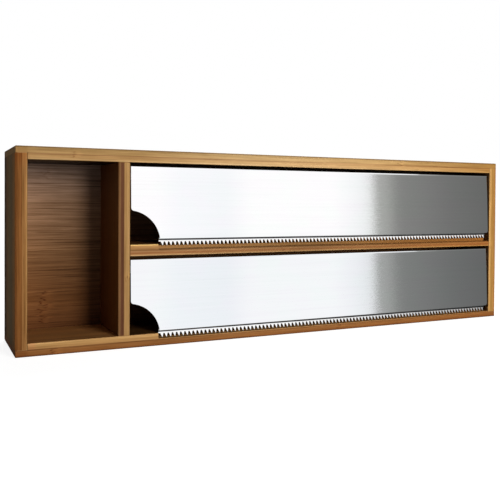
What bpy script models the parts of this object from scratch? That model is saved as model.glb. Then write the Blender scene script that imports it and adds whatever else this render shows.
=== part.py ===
"""Cling film dispenser: a bamboo cabinet with one open compartment and two roll bays.

Each roll bay is closed by a stainless flap that swings up on two short hinge screws
and carries a toothed cutting blade along its lower edge.

Metres, +Z up. The front faces -Y. The origin is at the centre of the underside.
"""

import math
from collections import namedtuple

import bmesh
import bpy
from mathutils import Vector
from mathutils.geometry import delaunay_2d_cdt

# ---------------------------------------------------------------- driving sizes

# Cabinet, clear spaces
COMPARTMENT_WIDTH = 0.0569
BAY_WIDTH = 0.3135
LOWER_BAY_HEIGHT = 0.0522
UPPER_BAY_HEIGHT = 0.0542
BAY_DEPTH = 0.0500

# Cabinet, boards
SIDE_THICKNESS = 0.0073
DIVIDER_THICKNESS = 0.0080
TOP_THICKNESS = 0.0084
BOTTOM_THICKNESS = 0.0084
SHELF_THICKNESS = 0.0078
PANEL_THICKNESS = 0.0050
REAR_RECESS = 0.0070
EDGE_EASING = 0.0005

# Joinery
CORNER_LAP = 0.0042
GROOVE_DEPTH = 0.0030
TONGUE_THICKNESS = 0.0048
TONGUE_SETBACK = 0.0140
JOINT_GAP = 0.00025

# Flap sheet
FLAP_THICKNESS = 0.0010
FLAP_END_GAP = 0.0010
FLAP_TOP_GAP = 0.0025
FLAP_TOP_SETBACK = 0.0020
UPPER_FLAP_BOTTOM_GAP = 0.0033
LOWER_FLAP_BOTTOM_GAP = 0.0014
FLAP_LEAN = math.radians(1.95)
FLAP_CORNER_RADIUS = 0.0020
NOTCH_RADIUS = 0.0220
NOTCH_OFFSET_X = 0.0021
NOTCH_OFFSET_Z = 0.0026

# Cutting blade, with its teeth bent forward
BLADE_THICKNESS = 0.0008
BLADE_BACKING = 0.0070
BLADE_REACH = 0.0041
LIP_DROP = 0.0011
LIP_ANGLE = math.radians(25)
BLADE_LEFT_OVERRUN = 0.0007
BACKING_LEFT_INSET = 0.0010
BLADE_RIGHT_INSET = 0.0026
BLADE_SEAM = 0.0002
TOOTH_PITCH = 0.0030
TOOTH_DEPTH = 0.0027
TOOTH_TIP = 0.00030
GULLET_ROOT = 0.0005
GULLET_WIDTH = 0.0010
GULLET_ROUNDING = 0.00022

# Film exit rebate under the blade
REBATE_HEIGHT = 0.0036
REBATE_DEPTH = 0.0060
REBATE_END_GAP = 0.0004

# Hinge brackets behind the sheet's upper corners
PIVOT_OFFSET = 0.0048
PIVOT_DROP = 0.0064
BRACKET_THICKNESS = 0.0010
BRACKET_LEG = 0.0120
BRACKET_INSET = 0.0003
BRACKET_SEAM = 0.0002
BRACKET_CORNER_RADIUS = 0.0012
BEND_RADIUS = 0.0006
EAR_RADIUS = 0.0042

# Hinge screws and washers
PIN_DIAMETER = 0.0024
PIN_HEAD_DIAMETER = 0.0044
PIN_HEAD_HEIGHT = 0.0016
PIN_DEPTH = 0.0045
PIN_CHAMFER = 0.0004
PIN_CLEARANCE = 0.0003
WASHER_DIAMETER = 0.0056
WASHER_GAP = 0.0002

# Facets
ROUND_STEPS = 24
ARC_STEPS = 20
CORNER_STEPS = 6
BEND_STEPS = 5
LIP_BEND_STEPS = 3
DOME_STEPS = 5
SHARP_ANGLE = math.radians(30)
WELD_DISTANCE = 1e-6
CUTTER_MARGIN = 0.0050

# ---------------------------------------------------------------- derived places

OUTER_WIDTH = (
    SIDE_THICKNESS + COMPARTMENT_WIDTH + DIVIDER_THICKNESS + BAY_WIDTH + SIDE_THICKNESS
)
OUTER_DEPTH = BAY_DEPTH + PANEL_THICKNESS + REAR_RECESS
SHELF_BOTTOM = BOTTOM_THICKNESS + LOWER_BAY_HEIGHT
SHELF_TOP = SHELF_BOTTOM + SHELF_THICKNESS
CEILING = SHELF_TOP + UPPER_BAY_HEIGHT
OUTER_HEIGHT = CEILING + TOP_THICKNESS

FRONT = -OUTER_DEPTH / 2
REAR = OUTER_DEPTH / 2
PANEL_FRONT = FRONT + BAY_DEPTH
PANEL_REAR = PANEL_FRONT + PANEL_THICKNESS

LEFT = -OUTER_WIDTH / 2
RIGHT = OUTER_WIDTH / 2
LEFT_INNER = LEFT + SIDE_THICKNESS
DIVIDER_LEFT = LEFT_INNER + COMPARTMENT_WIDTH
BAY_LEFT = DIVIDER_LEFT + DIVIDER_THICKNESS
BAY_RIGHT = BAY_LEFT + BAY_WIDTH
DIVIDER_MIDDLE = (DIVIDER_LEFT + BAY_LEFT) / 2
SHELF_MIDDLE = (SHELF_BOTTOM + SHELF_TOP) / 2
TONGUE_FRONT = FRONT + TONGUE_SETBACK

# Flap, measured from its hinge axis in the flap's own upright frame
FLAP_LENGTH = BAY_WIDTH - 2 * FLAP_END_GAP
FLAP_END = FLAP_LENGTH / 2
FLAP_X = (BAY_LEFT + BAY_RIGHT) / 2
SHEET_FRONT = -PIVOT_OFFSET
SHEET_REAR = SHEET_FRONT + FLAP_THICKNESS
BRACKET_MIDDLE = SHEET_REAR + BRACKET_SEAM + BRACKET_THICKNESS / 2
BEND_OUTER = BEND_RADIUS + BRACKET_THICKNESS
BEND_MIDDLE = BEND_RADIUS + BRACKET_THICKNESS / 2
BEND_LENGTH = BEND_MIDDLE * math.pi / 2
BEND_START = FLAP_END - BRACKET_INSET - BEND_OUTER
EAR_CENTRE = BEND_LENGTH - BRACKET_MIDDLE - BEND_MIDDLE
EAR_GAP = FLAP_END_GAP + BRACKET_INSET

LEAN_COS = math.cos(FLAP_LEAN)
LEAN_SIN = math.sin(FLAP_LEAN)
HINGE_Y = FRONT + FLAP_TOP_SETBACK + PIVOT_OFFSET * LEAN_COS - PIVOT_DROP * LEAN_SIN
HINGE_DROP = FLAP_TOP_GAP + PIVOT_DROP * LEAN_COS + PIVOT_OFFSET * LEAN_SIN

Bay = namedtuple("Bay", "level floor flap_gap hinge_z")
UPPER_BAY = Bay("upper", SHELF_TOP, UPPER_FLAP_BOTTOM_GAP, CEILING - HINGE_DROP)
LOWER_BAY = Bay("lower", BOTTOM_THICKNESS, LOWER_FLAP_BOTTOM_GAP, SHELF_BOTTOM - HINGE_DROP)
BAYS = (UPPER_BAY, LOWER_BAY)

# Blade, along X from the flap's middle
NOTCH_END = -FLAP_END - NOTCH_OFFSET_X + math.sqrt(NOTCH_RADIUS**2 - NOTCH_OFFSET_Z**2)
BLADE_LEFT = NOTCH_END - BLADE_LEFT_OVERRUN
BACKING_LEFT = NOTCH_END + BACKING_LEFT_INSET
BLADE_RIGHT = FLAP_END - BLADE_RIGHT_INSET
BLADE_MIDDLE = SHEET_REAR + BLADE_SEAM + BLADE_THICKNESS / 2
LIP_BEND_MIDDLE = BEND_RADIUS + BLADE_THICKNESS / 2
LIP_BEND_LENGTH = LIP_BEND_MIDDLE * LIP_ANGLE
LIP_BEND_DROP = BEND_RADIUS * math.sin(LIP_ANGLE)
LIP_STRAIGHT = (BLADE_REACH - LIP_DROP - LIP_BEND_DROP) / math.cos(LIP_ANGLE)
REBATE_LEFT = FLAP_X + BLADE_LEFT - REBATE_END_GAP

# ---------------------------------------------------------------- materials


def make_material(name, colour, roughness, metallic):
    """One Principled material, with the colour as linear RGB."""
    material = bpy.data.materials.new(name)
    material.use_nodes = True
    shader = material.node_tree.nodes["Principled BSDF"]
    shader.inputs["Base Color"].default_value = (*colour, 1.0)
    shader.inputs["Roughness"].default_value = roughness
    shader.inputs["Metallic"].default_value = metallic
    return material


def bamboo(name, colour):
    """Oiled bamboo board."""
    return make_material(name, colour, 0.48, 0.0)


# ---------------------------------------------------------------- mesh helpers


def add_object(name, mesh, material=None):
    """Put a mesh in the scene under the given name."""
    mesh.name = name
    thing = bpy.data.objects.new(name, mesh)
    bpy.context.scene.collection.objects.link(thing)
    if material:
        mesh.materials.append(material)
    return thing


def mesh_from(work):
    """Turn a bmesh into a mesh with its faces pointing out."""
    bmesh.ops.recalc_face_normals(work, faces=work.faces[:])
    mesh = bpy.data.meshes.new("mesh")
    work.to_mesh(mesh)
    work.free()
    return mesh


def extruded_mesh(outline, start, end, across):
    """A flat outline extruded from start to end.

    across is "x", "y" or "z", the axis that the outline is extruded along.
    The outline's points are the two other coordinates in their usual order.
    """
    slot = "xyz".index(across)
    work = bmesh.new()
    corners = []
    for point in outline:
        place = list(point)
        place.insert(slot, start)
        corners.append(work.verts.new(place))
    face = work.faces.new(corners)
    sweep = Vector((0.0, 0.0, 0.0))
    sweep[slot] = end - start
    grown = bmesh.ops.extrude_face_region(work, geom=[face])["geom"]
    moved = [item for item in grown if isinstance(item, bmesh.types.BMVert)]
    bmesh.ops.translate(work, verts=moved, vec=sweep)
    return mesh_from(work)


def box_outline(low, high):
    """A rectangle between two corners, as an outline."""
    return [(low[0], low[1]), (high[0], low[1]), (high[0], high[1]), (low[0], high[1])]


def box_mesh(low, high):
    """A block between two corners."""
    return extruded_mesh(box_outline(low[:2], high[:2]), low[2], high[2], "z")


def cut(target, mesh, name):
    """Cut a shape out of a board with a Boolean whose cutter stays editable."""
    cutter = add_object(target.name + "_" + name, mesh)
    cutter.hide_render = True
    cutter.display_type = "WIRE"
    modifier = target.modifiers.new(name, "BOOLEAN")
    modifier.operation = "DIFFERENCE"
    modifier.solver = "EXACT"
    modifier.object = cutter


def join(target, mesh, name):
    """Join a shape to a board with a Boolean union."""
    piece = add_object(target.name + "_" + name, mesh)
    piece.hide_render = True
    piece.display_type = "WIRE"
    modifier = target.modifiers.new(name, "BOOLEAN")
    modifier.operation = "UNION"
    modifier.solver = "EXACT"
    modifier.object = piece


def ease(target, joints):
    """Round over the arrises of a board before its grooves are cut, except where it is joined.

    joints are (axis, place) pairs: an edge whose middle lies in such a plane stays sharp.
    """
    mesh = target.data
    weights = mesh.attributes.new("bevel_weight_edge", "FLOAT", "EDGE")
    for edge in mesh.edges:
        middle = (mesh.vertices[edge.vertices[0]].co + mesh.vertices[edge.vertices[1]].co) / 2
        joined = [abs(middle["xyz".index(axis)] - place) < WELD_DISTANCE for axis, place in joints]
        weights.data[edge.index].value = 0.0 if any(joined) else 1.0
    modifier = target.modifiers.new("eased_edges", "BEVEL")
    modifier.width = EDGE_EASING
    modifier.segments = 2
    modifier.limit_method = "WEIGHT"


def turned_mesh(profile, steps=ROUND_STEPS):
    """A closed (x, radius) profile turned about the X axis."""
    work = bmesh.new()
    line = [work.verts.new((x, 0.0, radius)) for x, radius in profile]
    edges = [work.edges.new(pair) for pair in zip(line, line[1:])]
    on_axis = min(radius for _, radius in profile) == 0.0
    if not on_axis:
        edges.append(work.edges.new((line[-1], line[0])))
    bmesh.ops.spin(
        work,
        geom=line + edges,
        cent=(0.0, 0.0, 0.0),
        axis=(1.0, 0.0, 0.0),
        angle=math.tau,
        steps=steps,
    )
    bmesh.ops.remove_doubles(work, verts=work.verts[:], dist=WELD_DISTANCE)
    mesh = mesh_from(work)
    mesh.shade_smooth()
    mesh.set_sharp_from_angle(angle=SHARP_ANGLE)
    return mesh


def arc(centre, radius, start, end, steps):
    """Points along an arc, both ends included, with angles in radians."""
    points = []
    for step in range(steps + 1):
        angle = start + (end - start) * step / steps
        x = centre[0] + radius * math.cos(angle)
        y = centre[1] + radius * math.sin(angle)
        points.append((x, y))
    return points


# ---------------------------------------------------------------- cabinet


def lapped_board(name, outer, inner, material):
    """Top or bottom board: its outer ply laps over the ends of both sides."""
    lap = outer + math.copysign(CORNER_LAP, inner - outer)
    shoulder_left = LEFT_INNER + JOINT_GAP
    shoulder_right = BAY_RIGHT - JOINT_GAP
    outline = [
        (LEFT, outer),
        (RIGHT, outer),
        (RIGHT, lap),
        (shoulder_right, lap),
        (shoulder_right, inner),
        (shoulder_left, inner),
        (shoulder_left, lap),
        (LEFT, lap),
    ]
    board = add_object(name, extruded_mesh(outline, FRONT, REAR, "y"), material)
    ease(board, [("z", lap), ("x", shoulder_left), ("x", shoulder_right)])
    return board


def cut_panel_groove(board, low_x, high_x, low_z, high_z):
    """Groove for the back panel, as a ring round the clear inside of the cabinet."""
    low = (low_x, PANEL_FRONT - JOINT_GAP, low_z)
    high = (high_x, PANEL_REAR + JOINT_GAP, high_z)
    cut(board, box_mesh(low, high), "panel_groove")


def cut_divider_housing(board, low_z, high_z):
    """Stopped housing for the divider's tongue, open into the panel groove."""
    low_x = DIVIDER_MIDDLE - TONGUE_THICKNESS / 2 - JOINT_GAP
    high_x = DIVIDER_MIDDLE + TONGUE_THICKNESS / 2 + JOINT_GAP
    low = (low_x, TONGUE_FRONT - JOINT_GAP, low_z)
    high = (high_x, PANEL_FRONT + JOINT_GAP, high_z)
    cut(board, box_mesh(low, high), "divider_housing")


def cut_shelf_housing(board, low_x, high_x):
    """Stopped housing for a tongue of the shelf."""
    low_z = SHELF_MIDDLE - TONGUE_THICKNESS / 2 - JOINT_GAP
    high_z = SHELF_MIDDLE + TONGUE_THICKNESS / 2 + JOINT_GAP
    low = (low_x, TONGUE_FRONT - JOINT_GAP, low_z)
    high = (high_x, PANEL_FRONT + JOINT_GAP, high_z)
    cut(board, box_mesh(low, high), "shelf_housing")


def cut_rebate(board, bay):
    """Rebate along the front upper edge, where the film leaves under the blade."""
    low = (REBATE_LEFT, FRONT - CUTTER_MARGIN, bay.floor - REBATE_HEIGHT)
    high = (BAY_RIGHT, FRONT + REBATE_DEPTH, bay.floor + CUTTER_MARGIN)
    cut(board, box_mesh(low, high), "film_rebate")


def cut_pin_holes(board, face_x, into):
    """Blind holes for the two hinge screws, into is +1 or -1 along X."""
    radius = PIN_DIAMETER / 2 + JOINT_GAP
    bottom = face_x + into * (PIN_DEPTH + JOINT_GAP)
    mouth = face_x - into * CUTTER_MARGIN
    low, high = sorted((bottom, mouth))
    for bay in BAYS:
        outline = arc((HINGE_Y, bay.hinge_z), radius, 0.0, math.tau, ROUND_STEPS)[:-1]
        cut(board, extruded_mesh(outline, low, high, "x"), bay.level + "_pin_hole")


def tongued_divider(material):
    """Divider board with a tongue at its top and bottom."""
    low_z = BOTTOM_THICKNESS + JOINT_GAP
    high_z = CEILING - JOINT_GAP
    rear = PANEL_FRONT - JOINT_GAP
    board = add_object(
        "divider",
        box_mesh((DIVIDER_LEFT, FRONT, low_z), (BAY_LEFT, rear, high_z)),
        material,
    )
    ease(board, [("z", low_z), ("z", high_z)])
    half = TONGUE_THICKNESS / 2
    tongue = box_mesh(
        (DIVIDER_MIDDLE - half, TONGUE_FRONT, BOTTOM_THICKNESS - GROOVE_DEPTH + JOINT_GAP),
        (DIVIDER_MIDDLE + half, rear - EDGE_EASING, CEILING + GROOVE_DEPTH - JOINT_GAP),
    )
    join(board, tongue, "tongues")
    return board


def tongued_shelf(material):
    """Shelf under the upper roll, with a tongue at each end."""
    low_x = BAY_LEFT + JOINT_GAP
    high_x = BAY_RIGHT - JOINT_GAP
    rear = PANEL_FRONT - JOINT_GAP
    board = add_object(
        "roll_shelf",
        box_mesh((low_x, FRONT, SHELF_BOTTOM), (high_x, rear, SHELF_TOP)),
        material,
    )
    ease(board, [("x", low_x), ("x", high_x)])
    half = TONGUE_THICKNESS / 2
    tongue = box_mesh(
        (BAY_LEFT - GROOVE_DEPTH + JOINT_GAP, TONGUE_FRONT, SHELF_MIDDLE - half),
        (BAY_RIGHT + GROOVE_DEPTH - JOINT_GAP, rear - EDGE_EASING, SHELF_MIDDLE + half),
    )
    join(board, tongue, "tongues")
    return board


def build_cabinet():
    """The seven boards of the cabinet."""
    golden = bamboo("golden_bamboo", (0.552, 0.347, 0.162))
    tan = bamboo("tan_bamboo", (0.470, 0.270, 0.110))
    brown = bamboo("brown_bamboo", (0.300, 0.141, 0.044))

    top = lapped_board("top_board", OUTER_HEIGHT, CEILING, golden)
    bottom = lapped_board("bottom_board", 0.0, BOTTOM_THICKNESS, tan)
    groove_left = LEFT_INNER - CUTTER_MARGIN
    groove_right = BAY_RIGHT + CUTTER_MARGIN
    groove_floor = BOTTOM_THICKNESS - GROOVE_DEPTH
    groove_ceiling = CEILING + GROOVE_DEPTH
    cut_panel_groove(top, groove_left, groove_right, CEILING - CUTTER_MARGIN, groove_ceiling)
    cut_panel_groove(
        bottom, groove_left, groove_right, groove_floor, BOTTOM_THICKNESS + CUTTER_MARGIN
    )
    cut_divider_housing(top, CEILING - CUTTER_MARGIN, groove_ceiling)
    cut_divider_housing(bottom, groove_floor, BOTTOM_THICKNESS + CUTTER_MARGIN)
    cut_rebate(bottom, LOWER_BAY)

    side_low = CORNER_LAP + JOINT_GAP
    side_high = OUTER_HEIGHT - CORNER_LAP - JOINT_GAP
    left = add_object(
        "left_side", box_mesh((LEFT, FRONT, side_low), (LEFT_INNER, REAR, side_high)), tan
    )
    right = add_object(
        "right_side", box_mesh((BAY_RIGHT, FRONT, side_low), (RIGHT, REAR, side_high)), golden
    )
    ease(left, [("z", side_low), ("z", side_high)])
    ease(right, [("z", side_low), ("z", side_high)])
    cut_panel_groove(
        left, LEFT_INNER - GROOVE_DEPTH, LEFT_INNER + CUTTER_MARGIN, groove_floor, groove_ceiling
    )
    cut_panel_groove(
        right, BAY_RIGHT - CUTTER_MARGIN, BAY_RIGHT + GROOVE_DEPTH, groove_floor, groove_ceiling
    )
    cut_shelf_housing(right, BAY_RIGHT - CUTTER_MARGIN, BAY_RIGHT + GROOVE_DEPTH)
    cut_pin_holes(right, BAY_RIGHT, 1)

    divider = tongued_divider(golden)
    cut_shelf_housing(divider, BAY_LEFT - GROOVE_DEPTH, BAY_LEFT + CUTTER_MARGIN)
    cut_pin_holes(divider, BAY_LEFT, -1)

    shelf = tongued_shelf(golden)
    cut_rebate(shelf, UPPER_BAY)

    reach = GROOVE_DEPTH - JOINT_GAP
    low = (LEFT_INNER - reach, PANEL_FRONT, BOTTOM_THICKNESS - reach)
    high = (BAY_RIGHT + reach, PANEL_REAR, CEILING + reach)
    add_object("back_panel", box_mesh(low, high), brown)


# ---------------------------------------------------------------- flaps


def folded_metal(places, faces, placed, thickness):
    """Sheet metal from a flat pattern's faces, thickened to both sides of its middle.

    placed gives where a point of the pattern goes, at a depth from the middle to the front.
    """
    work = bmesh.new()
    half = thickness / 2
    front = [work.verts.new(placed(u, v, half)) for u, v in places]
    rear = [work.verts.new(placed(u, v, -half)) for u, v in places]
    for face in faces:
        work.faces.new([front[i] for i in face])
    rim = [edge for edge in work.edges if edge.is_boundary]
    twin = dict(zip(front, rear))
    for face in faces:
        work.faces.new([rear[i] for i in reversed(face)])
    for edge in rim:
        a, b = edge.verts
        work.faces.new((a, b, twin[b], twin[a]))
    bmesh.ops.delete(work, geom=[v for v in work.verts if not v.link_faces], context="VERTS")
    return work


def sheet_mesh(sheet_bottom):
    """Flap sheet, with the finger notch cut from its lower left corner."""
    centre = (-FLAP_END - NOTCH_OFFSET_X, sheet_bottom - NOTCH_OFFSET_Z)
    low_angle = math.asin(NOTCH_OFFSET_Z / NOTCH_RADIUS)
    reach = NOTCH_RADIUS + FLAP_CORNER_RADIUS
    high_angle = math.acos((NOTCH_OFFSET_X + FLAP_CORNER_RADIUS) / reach)
    shoulder = (FLAP_CORNER_RADIUS - FLAP_END, centre[1] + reach * math.sin(high_angle))
    corner = (FLAP_END - FLAP_CORNER_RADIUS, sheet_bottom + FLAP_CORNER_RADIUS)

    outline = arc(shoulder, FLAP_CORNER_RADIUS, math.pi, math.pi + high_angle, CORNER_STEPS)[:-1]
    outline += arc(centre, NOTCH_RADIUS, high_angle, low_angle, ARC_STEPS)
    outline += arc(corner, FLAP_CORNER_RADIUS, -math.pi / 2, 0.0, CORNER_STEPS)
    outline += [(FLAP_END, PIVOT_DROP), (-FLAP_END, PIVOT_DROP)]
    mesh = extruded_mesh(outline, SHEET_FRONT, SHEET_REAR, "y")
    mesh.shade_smooth()
    mesh.set_sharp_from_angle(angle=SHARP_ANGLE)
    return mesh


def bracket_outline():
    """Flat pattern of a hinge bracket in (u, z), u running on past the bend at 0."""
    radius = BRACKET_CORNER_RADIUS
    left = radius - BRACKET_LEG
    top = EAR_RADIUS - radius
    points = arc((left, -top), radius, math.pi, 3 * math.pi / 2, CORNER_STEPS)
    points += arc((EAR_CENTRE, 0.0), EAR_RADIUS, -math.pi / 2, math.pi / 2, ARC_STEPS)
    points += arc((left, top), radius, math.pi / 2, math.pi, CORNER_STEPS)
    return points


def folded_place(u, z, depth):
    """Where a point of the right bracket's flat pattern goes once the ear is folded back.

    depth is the distance from the middle of the sheet metal towards its front face.
    """
    if u <= 0.0:
        return (BEND_START + u, BRACKET_MIDDLE - depth, z)
    turn = min(u / BEND_MIDDLE, math.pi / 2)
    straight = max(u - BEND_LENGTH, 0.0)
    radius = BEND_MIDDLE + depth
    x = BEND_START + radius * math.sin(turn)
    y = BRACKET_MIDDLE + BEND_MIDDLE - radius * math.cos(turn) + straight
    return (x, y, z)


def bracket_mesh(side):
    """Hinge bracket: the flat pattern thickened and folded, side is -1 left or 1 right."""
    hole_radius = PIN_DIAMETER / 2 + PIN_CLEARANCE
    hole_centre = Vector((EAR_CENTRE, 0.0))
    hole = arc(hole_centre, hole_radius, 0.0, math.tau, ROUND_STEPS)[:-1]
    points = []
    edges = []
    for loop in (bracket_outline(), hole):
        first = len(points)
        points += loop
        edges += [(first + i, first + (i + 1) % len(loop)) for i in range(len(loop))]
    for step in range(BEND_STEPS + 1):
        u = BEND_LENGTH * step / BEND_STEPS
        edges.append((len(points), len(points) + 1))
        points += [(u, -EAR_RADIUS), (u, EAR_RADIUS)]

    inside_outline = 1
    flat = delaunay_2d_cdt([Vector(p) for p in points], edges, [], inside_outline, WELD_DISTANCE)
    places = flat[0]
    faces = []
    for face in flat[2]:
        middle = sum((places[i] for i in face), Vector((0.0, 0.0))) / len(face)
        if (middle - hole_centre).length > hole_radius:
            faces.append(face)

    work = folded_metal(places, faces, folded_place, BRACKET_THICKNESS)
    bmesh.ops.scale(work, vec=(side, 1.0, 1.0), verts=work.verts[:])
    mesh = mesh_from(work)
    mesh.shade_smooth()
    mesh.set_sharp_from_angle(angle=SHARP_ANGLE)
    return mesh


def lip_place(x, v, depth):
    """Where a point of the blade's flat pattern goes, v upwards from where the lip's bend starts.

    depth is the distance from the middle of the strip towards its front face.
    """
    if v >= 0.0:
        return (x, BLADE_MIDDLE - depth, v)
    turn = min(-v / LIP_BEND_MIDDLE, LIP_ANGLE)
    straight = max(-v - LIP_BEND_LENGTH, 0.0)
    radius = LIP_BEND_MIDDLE - depth
    y = BLADE_MIDDLE - LIP_BEND_MIDDLE + radius * math.cos(turn) - straight * math.sin(turn)
    return (x, y, -radius * math.sin(turn) - straight * math.cos(turn))


def toothed_edge():
    """The lip's lower edge in the blade's flat pattern, left to right, with rounded gullets."""
    tip = -LIP_BEND_LENGTH - LIP_STRAIGHT
    root = tip + TOOTH_DEPTH
    count = int((BLADE_RIGHT - BLADE_LEFT) / TOOTH_PITCH)
    margin = (BLADE_RIGHT - BLADE_LEFT - count * TOOTH_PITCH) / 2
    edge = [(BLADE_LEFT, root)]
    half_tooth = [
        (TOOTH_PITCH / 2 - GULLET_ROOT / 2, root),
        (TOOTH_PITCH / 2 - GULLET_WIDTH / 2, root - GULLET_ROUNDING),
        (TOOTH_TIP / 2, tip),
    ]
    for index in range(count):
        middle = BLADE_LEFT + margin + (index + 0.5) * TOOTH_PITCH
        edge += [(middle - x, v) for x, v in half_tooth]
        edge += [(middle + x, v) for x, v in reversed(half_tooth)]
    edge.append((BLADE_RIGHT, root))
    return edge


def blade_mesh(sheet_bottom):
    """Toothed strip behind the sheet's lower edge, its teeth bent forward below the sheet."""
    places = [(BLADE_RIGHT, BLADE_BACKING + LIP_DROP), (BACKING_LEFT, BLADE_BACKING + LIP_DROP)]
    for step in range(LIP_BEND_STEPS + 1):
        height = -LIP_BEND_LENGTH * step / LIP_BEND_STEPS
        places += [(BLADE_RIGHT, height), (BLADE_LEFT, height)]
    rows = range(LIP_BEND_STEPS + 1)
    faces = [(2 * row, 2 * row + 1, 2 * row + 3, 2 * row + 2) for row in rows]
    bend_end = len(places) - 2
    edge = toothed_edge()
    faces.append([bend_end, bend_end + 1] + [len(places) + i for i in range(len(edge))])
    work = folded_metal(places + edge, faces, lip_place, BLADE_THICKNESS)
    bmesh.ops.translate(work, verts=work.verts[:], vec=(0.0, 0.0, sheet_bottom - LIP_DROP))
    mesh = mesh_from(work)
    mesh.shade_smooth()
    mesh.set_sharp_from_angle(angle=SHARP_ANGLE)
    return mesh


def build_flap(bay):
    """One flap with its blade and brackets, standing closed on its hinge axis."""
    level = bay.level
    steel = make_material(level + "_brushed_steel", (0.80, 0.80, 0.81), 0.30, 1.0)
    sheet_drop = bay.hinge_z - bay.floor - bay.flap_gap
    sheet_bottom = -(sheet_drop + PIVOT_OFFSET * LEAN_SIN) / LEAN_COS

    flap = add_object(level + "_flap", sheet_mesh(sheet_bottom), steel)
    flap.location = (FLAP_X, HINGE_Y, bay.hinge_z)
    flap.rotation_euler = (-FLAP_LEAN, 0.0, 0.0)
    blade = add_object(level + "_blade", blade_mesh(sheet_bottom), steel)
    blade.parent = flap
    for side, side_name in ((-1, "left"), (1, "right")):
        name = level + "_" + side_name + "_hinge_bracket"
        bracket = add_object(name, bracket_mesh(side), steel)
        bracket.parent = flap


# ---------------------------------------------------------------- hinges


def screw_profile():
    """Round-head screw in (x, radius), with x = 0 where it enters the wood."""
    radius = PIN_DIAMETER / 2
    head = PIN_HEAD_DIAMETER / 2
    seat = -EAR_GAP - BRACKET_THICKNESS - WASHER_GAP
    profile = [(seat - PIN_HEAD_HEIGHT, 0.0)]
    for step in range(1, DOME_STEPS + 1):
        angle = math.pi / 2 * step / DOME_STEPS
        x = seat - PIN_HEAD_HEIGHT * math.cos(angle)
        profile.append((x, head * math.sin(angle)))
    profile += [(seat, radius), (PIN_DEPTH - PIN_CHAMFER, radius)]
    profile += [(PIN_DEPTH, radius - PIN_CHAMFER), (PIN_DEPTH, 0.0)]
    return profile


def washer_profile():
    """Washer that fills the space between the ear and the wood, in (x, radius)."""
    bore = PIN_DIAMETER / 2 + PIN_CLEARANCE
    rim = WASHER_DIAMETER / 2
    inner = WASHER_GAP - EAR_GAP
    outer = -WASHER_GAP
    return [(inner, bore), (inner, rim), (outer, rim), (outer, bore)]


def build_hinge(bay, side_name, wall_x, turn):
    """Screw and washer at one end of a flap, turned to point into the wood."""
    name = bay.level + "_" + side_name
    zinc = make_material(name + "_zinc", (0.62, 0.62, 0.60), 0.35, 1.0)
    nylon = make_material(name + "_nylon", (0.75, 0.74, 0.70), 0.55, 0.0)
    screw = add_object(name + "_hinge_screw", turned_mesh(screw_profile()), zinc)
    washer = add_object(name + "_washer", turned_mesh(washer_profile()), nylon)
    for piece in (screw, washer):
        piece.location = (wall_x, HINGE_Y, bay.hinge_z)
        piece.rotation_euler = (0.0, 0.0, turn)


# ---------------------------------------------------------------- assembly


def build():
    """Clear the scene and build the dispenser."""
    for thing in list(bpy.data.objects):
        bpy.data.objects.remove(thing, do_unlink=True)
    build_cabinet()
    for bay in BAYS:
        build_flap(bay)
        build_hinge(bay, "left", BAY_LEFT, math.pi)
        build_hinge(bay, "right", BAY_RIGHT, 0.0)


build()
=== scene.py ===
"""Looks of the cling film dispenser: a bamboo cabinet with two toothed flaps of brushed steel."""

from math import cos, radians, sin

import bpy
import numpy as np
from mathutils import Matrix, Vector


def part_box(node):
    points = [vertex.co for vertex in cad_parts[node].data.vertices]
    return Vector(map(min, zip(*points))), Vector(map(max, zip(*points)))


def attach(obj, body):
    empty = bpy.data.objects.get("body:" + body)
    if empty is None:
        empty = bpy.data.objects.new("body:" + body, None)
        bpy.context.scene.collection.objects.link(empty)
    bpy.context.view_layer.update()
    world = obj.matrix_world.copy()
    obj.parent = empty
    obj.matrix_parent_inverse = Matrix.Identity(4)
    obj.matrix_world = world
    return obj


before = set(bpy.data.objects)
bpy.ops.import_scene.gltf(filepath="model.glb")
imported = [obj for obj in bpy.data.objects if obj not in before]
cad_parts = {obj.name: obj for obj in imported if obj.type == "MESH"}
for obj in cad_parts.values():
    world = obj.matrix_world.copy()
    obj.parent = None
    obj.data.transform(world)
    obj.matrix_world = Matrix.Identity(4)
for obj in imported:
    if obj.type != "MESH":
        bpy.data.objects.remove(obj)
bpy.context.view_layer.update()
MM = 1000.0

# ---------------------------------------------------------------------------
# The photograph's camera
# ---------------------------------------------------------------------------

# its place in metres, its focal length and middle row in pixels of a 500 pixel picture
CAMERA_PLACE = (-0.24712, -0.47339, 0.09764)
CAMERA_YAW = radians(25.405)
CAMERA_PITCH = radians(-0.81)
CAMERA_ROLL = radians(0.346)
SENSOR_WIDTH = 36.0
FOCAL_PIXELS = 686.85
PICTURE_SIDE = 500.0
CENTRE_ROW = 210.742

# ---------------------------------------------------------------------------
# Studio
# ---------------------------------------------------------------------------

# sizes and distances in metres, lamps in watts, and the floor's shadow reach in millimetres
AMBIENT = 0.022
CABINET_MIDDLE = 0.065
KEY_DISTANCE = 1.5
KEY_AZIMUTH = radians(12.5)
KEY_ELEVATION = radians(9)
KEY_SIZE = 0.50
KEY_POWER = 20.0
TOP_AZIMUTH = radians(160)
TOP_ELEVATION = radians(55)
TOP_SIZE = 0.8
TOP_POWER = 18.0
TOP_DISTANCE = 1.5
FLOOR_SIDE = 12.0
FLOOR_SHADE = 0.10
FLOOR_CATCH = 0.45
FLOOR_REACH = (260.0, 620.0)
FLOOR_COLOUR = 0.7

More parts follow.
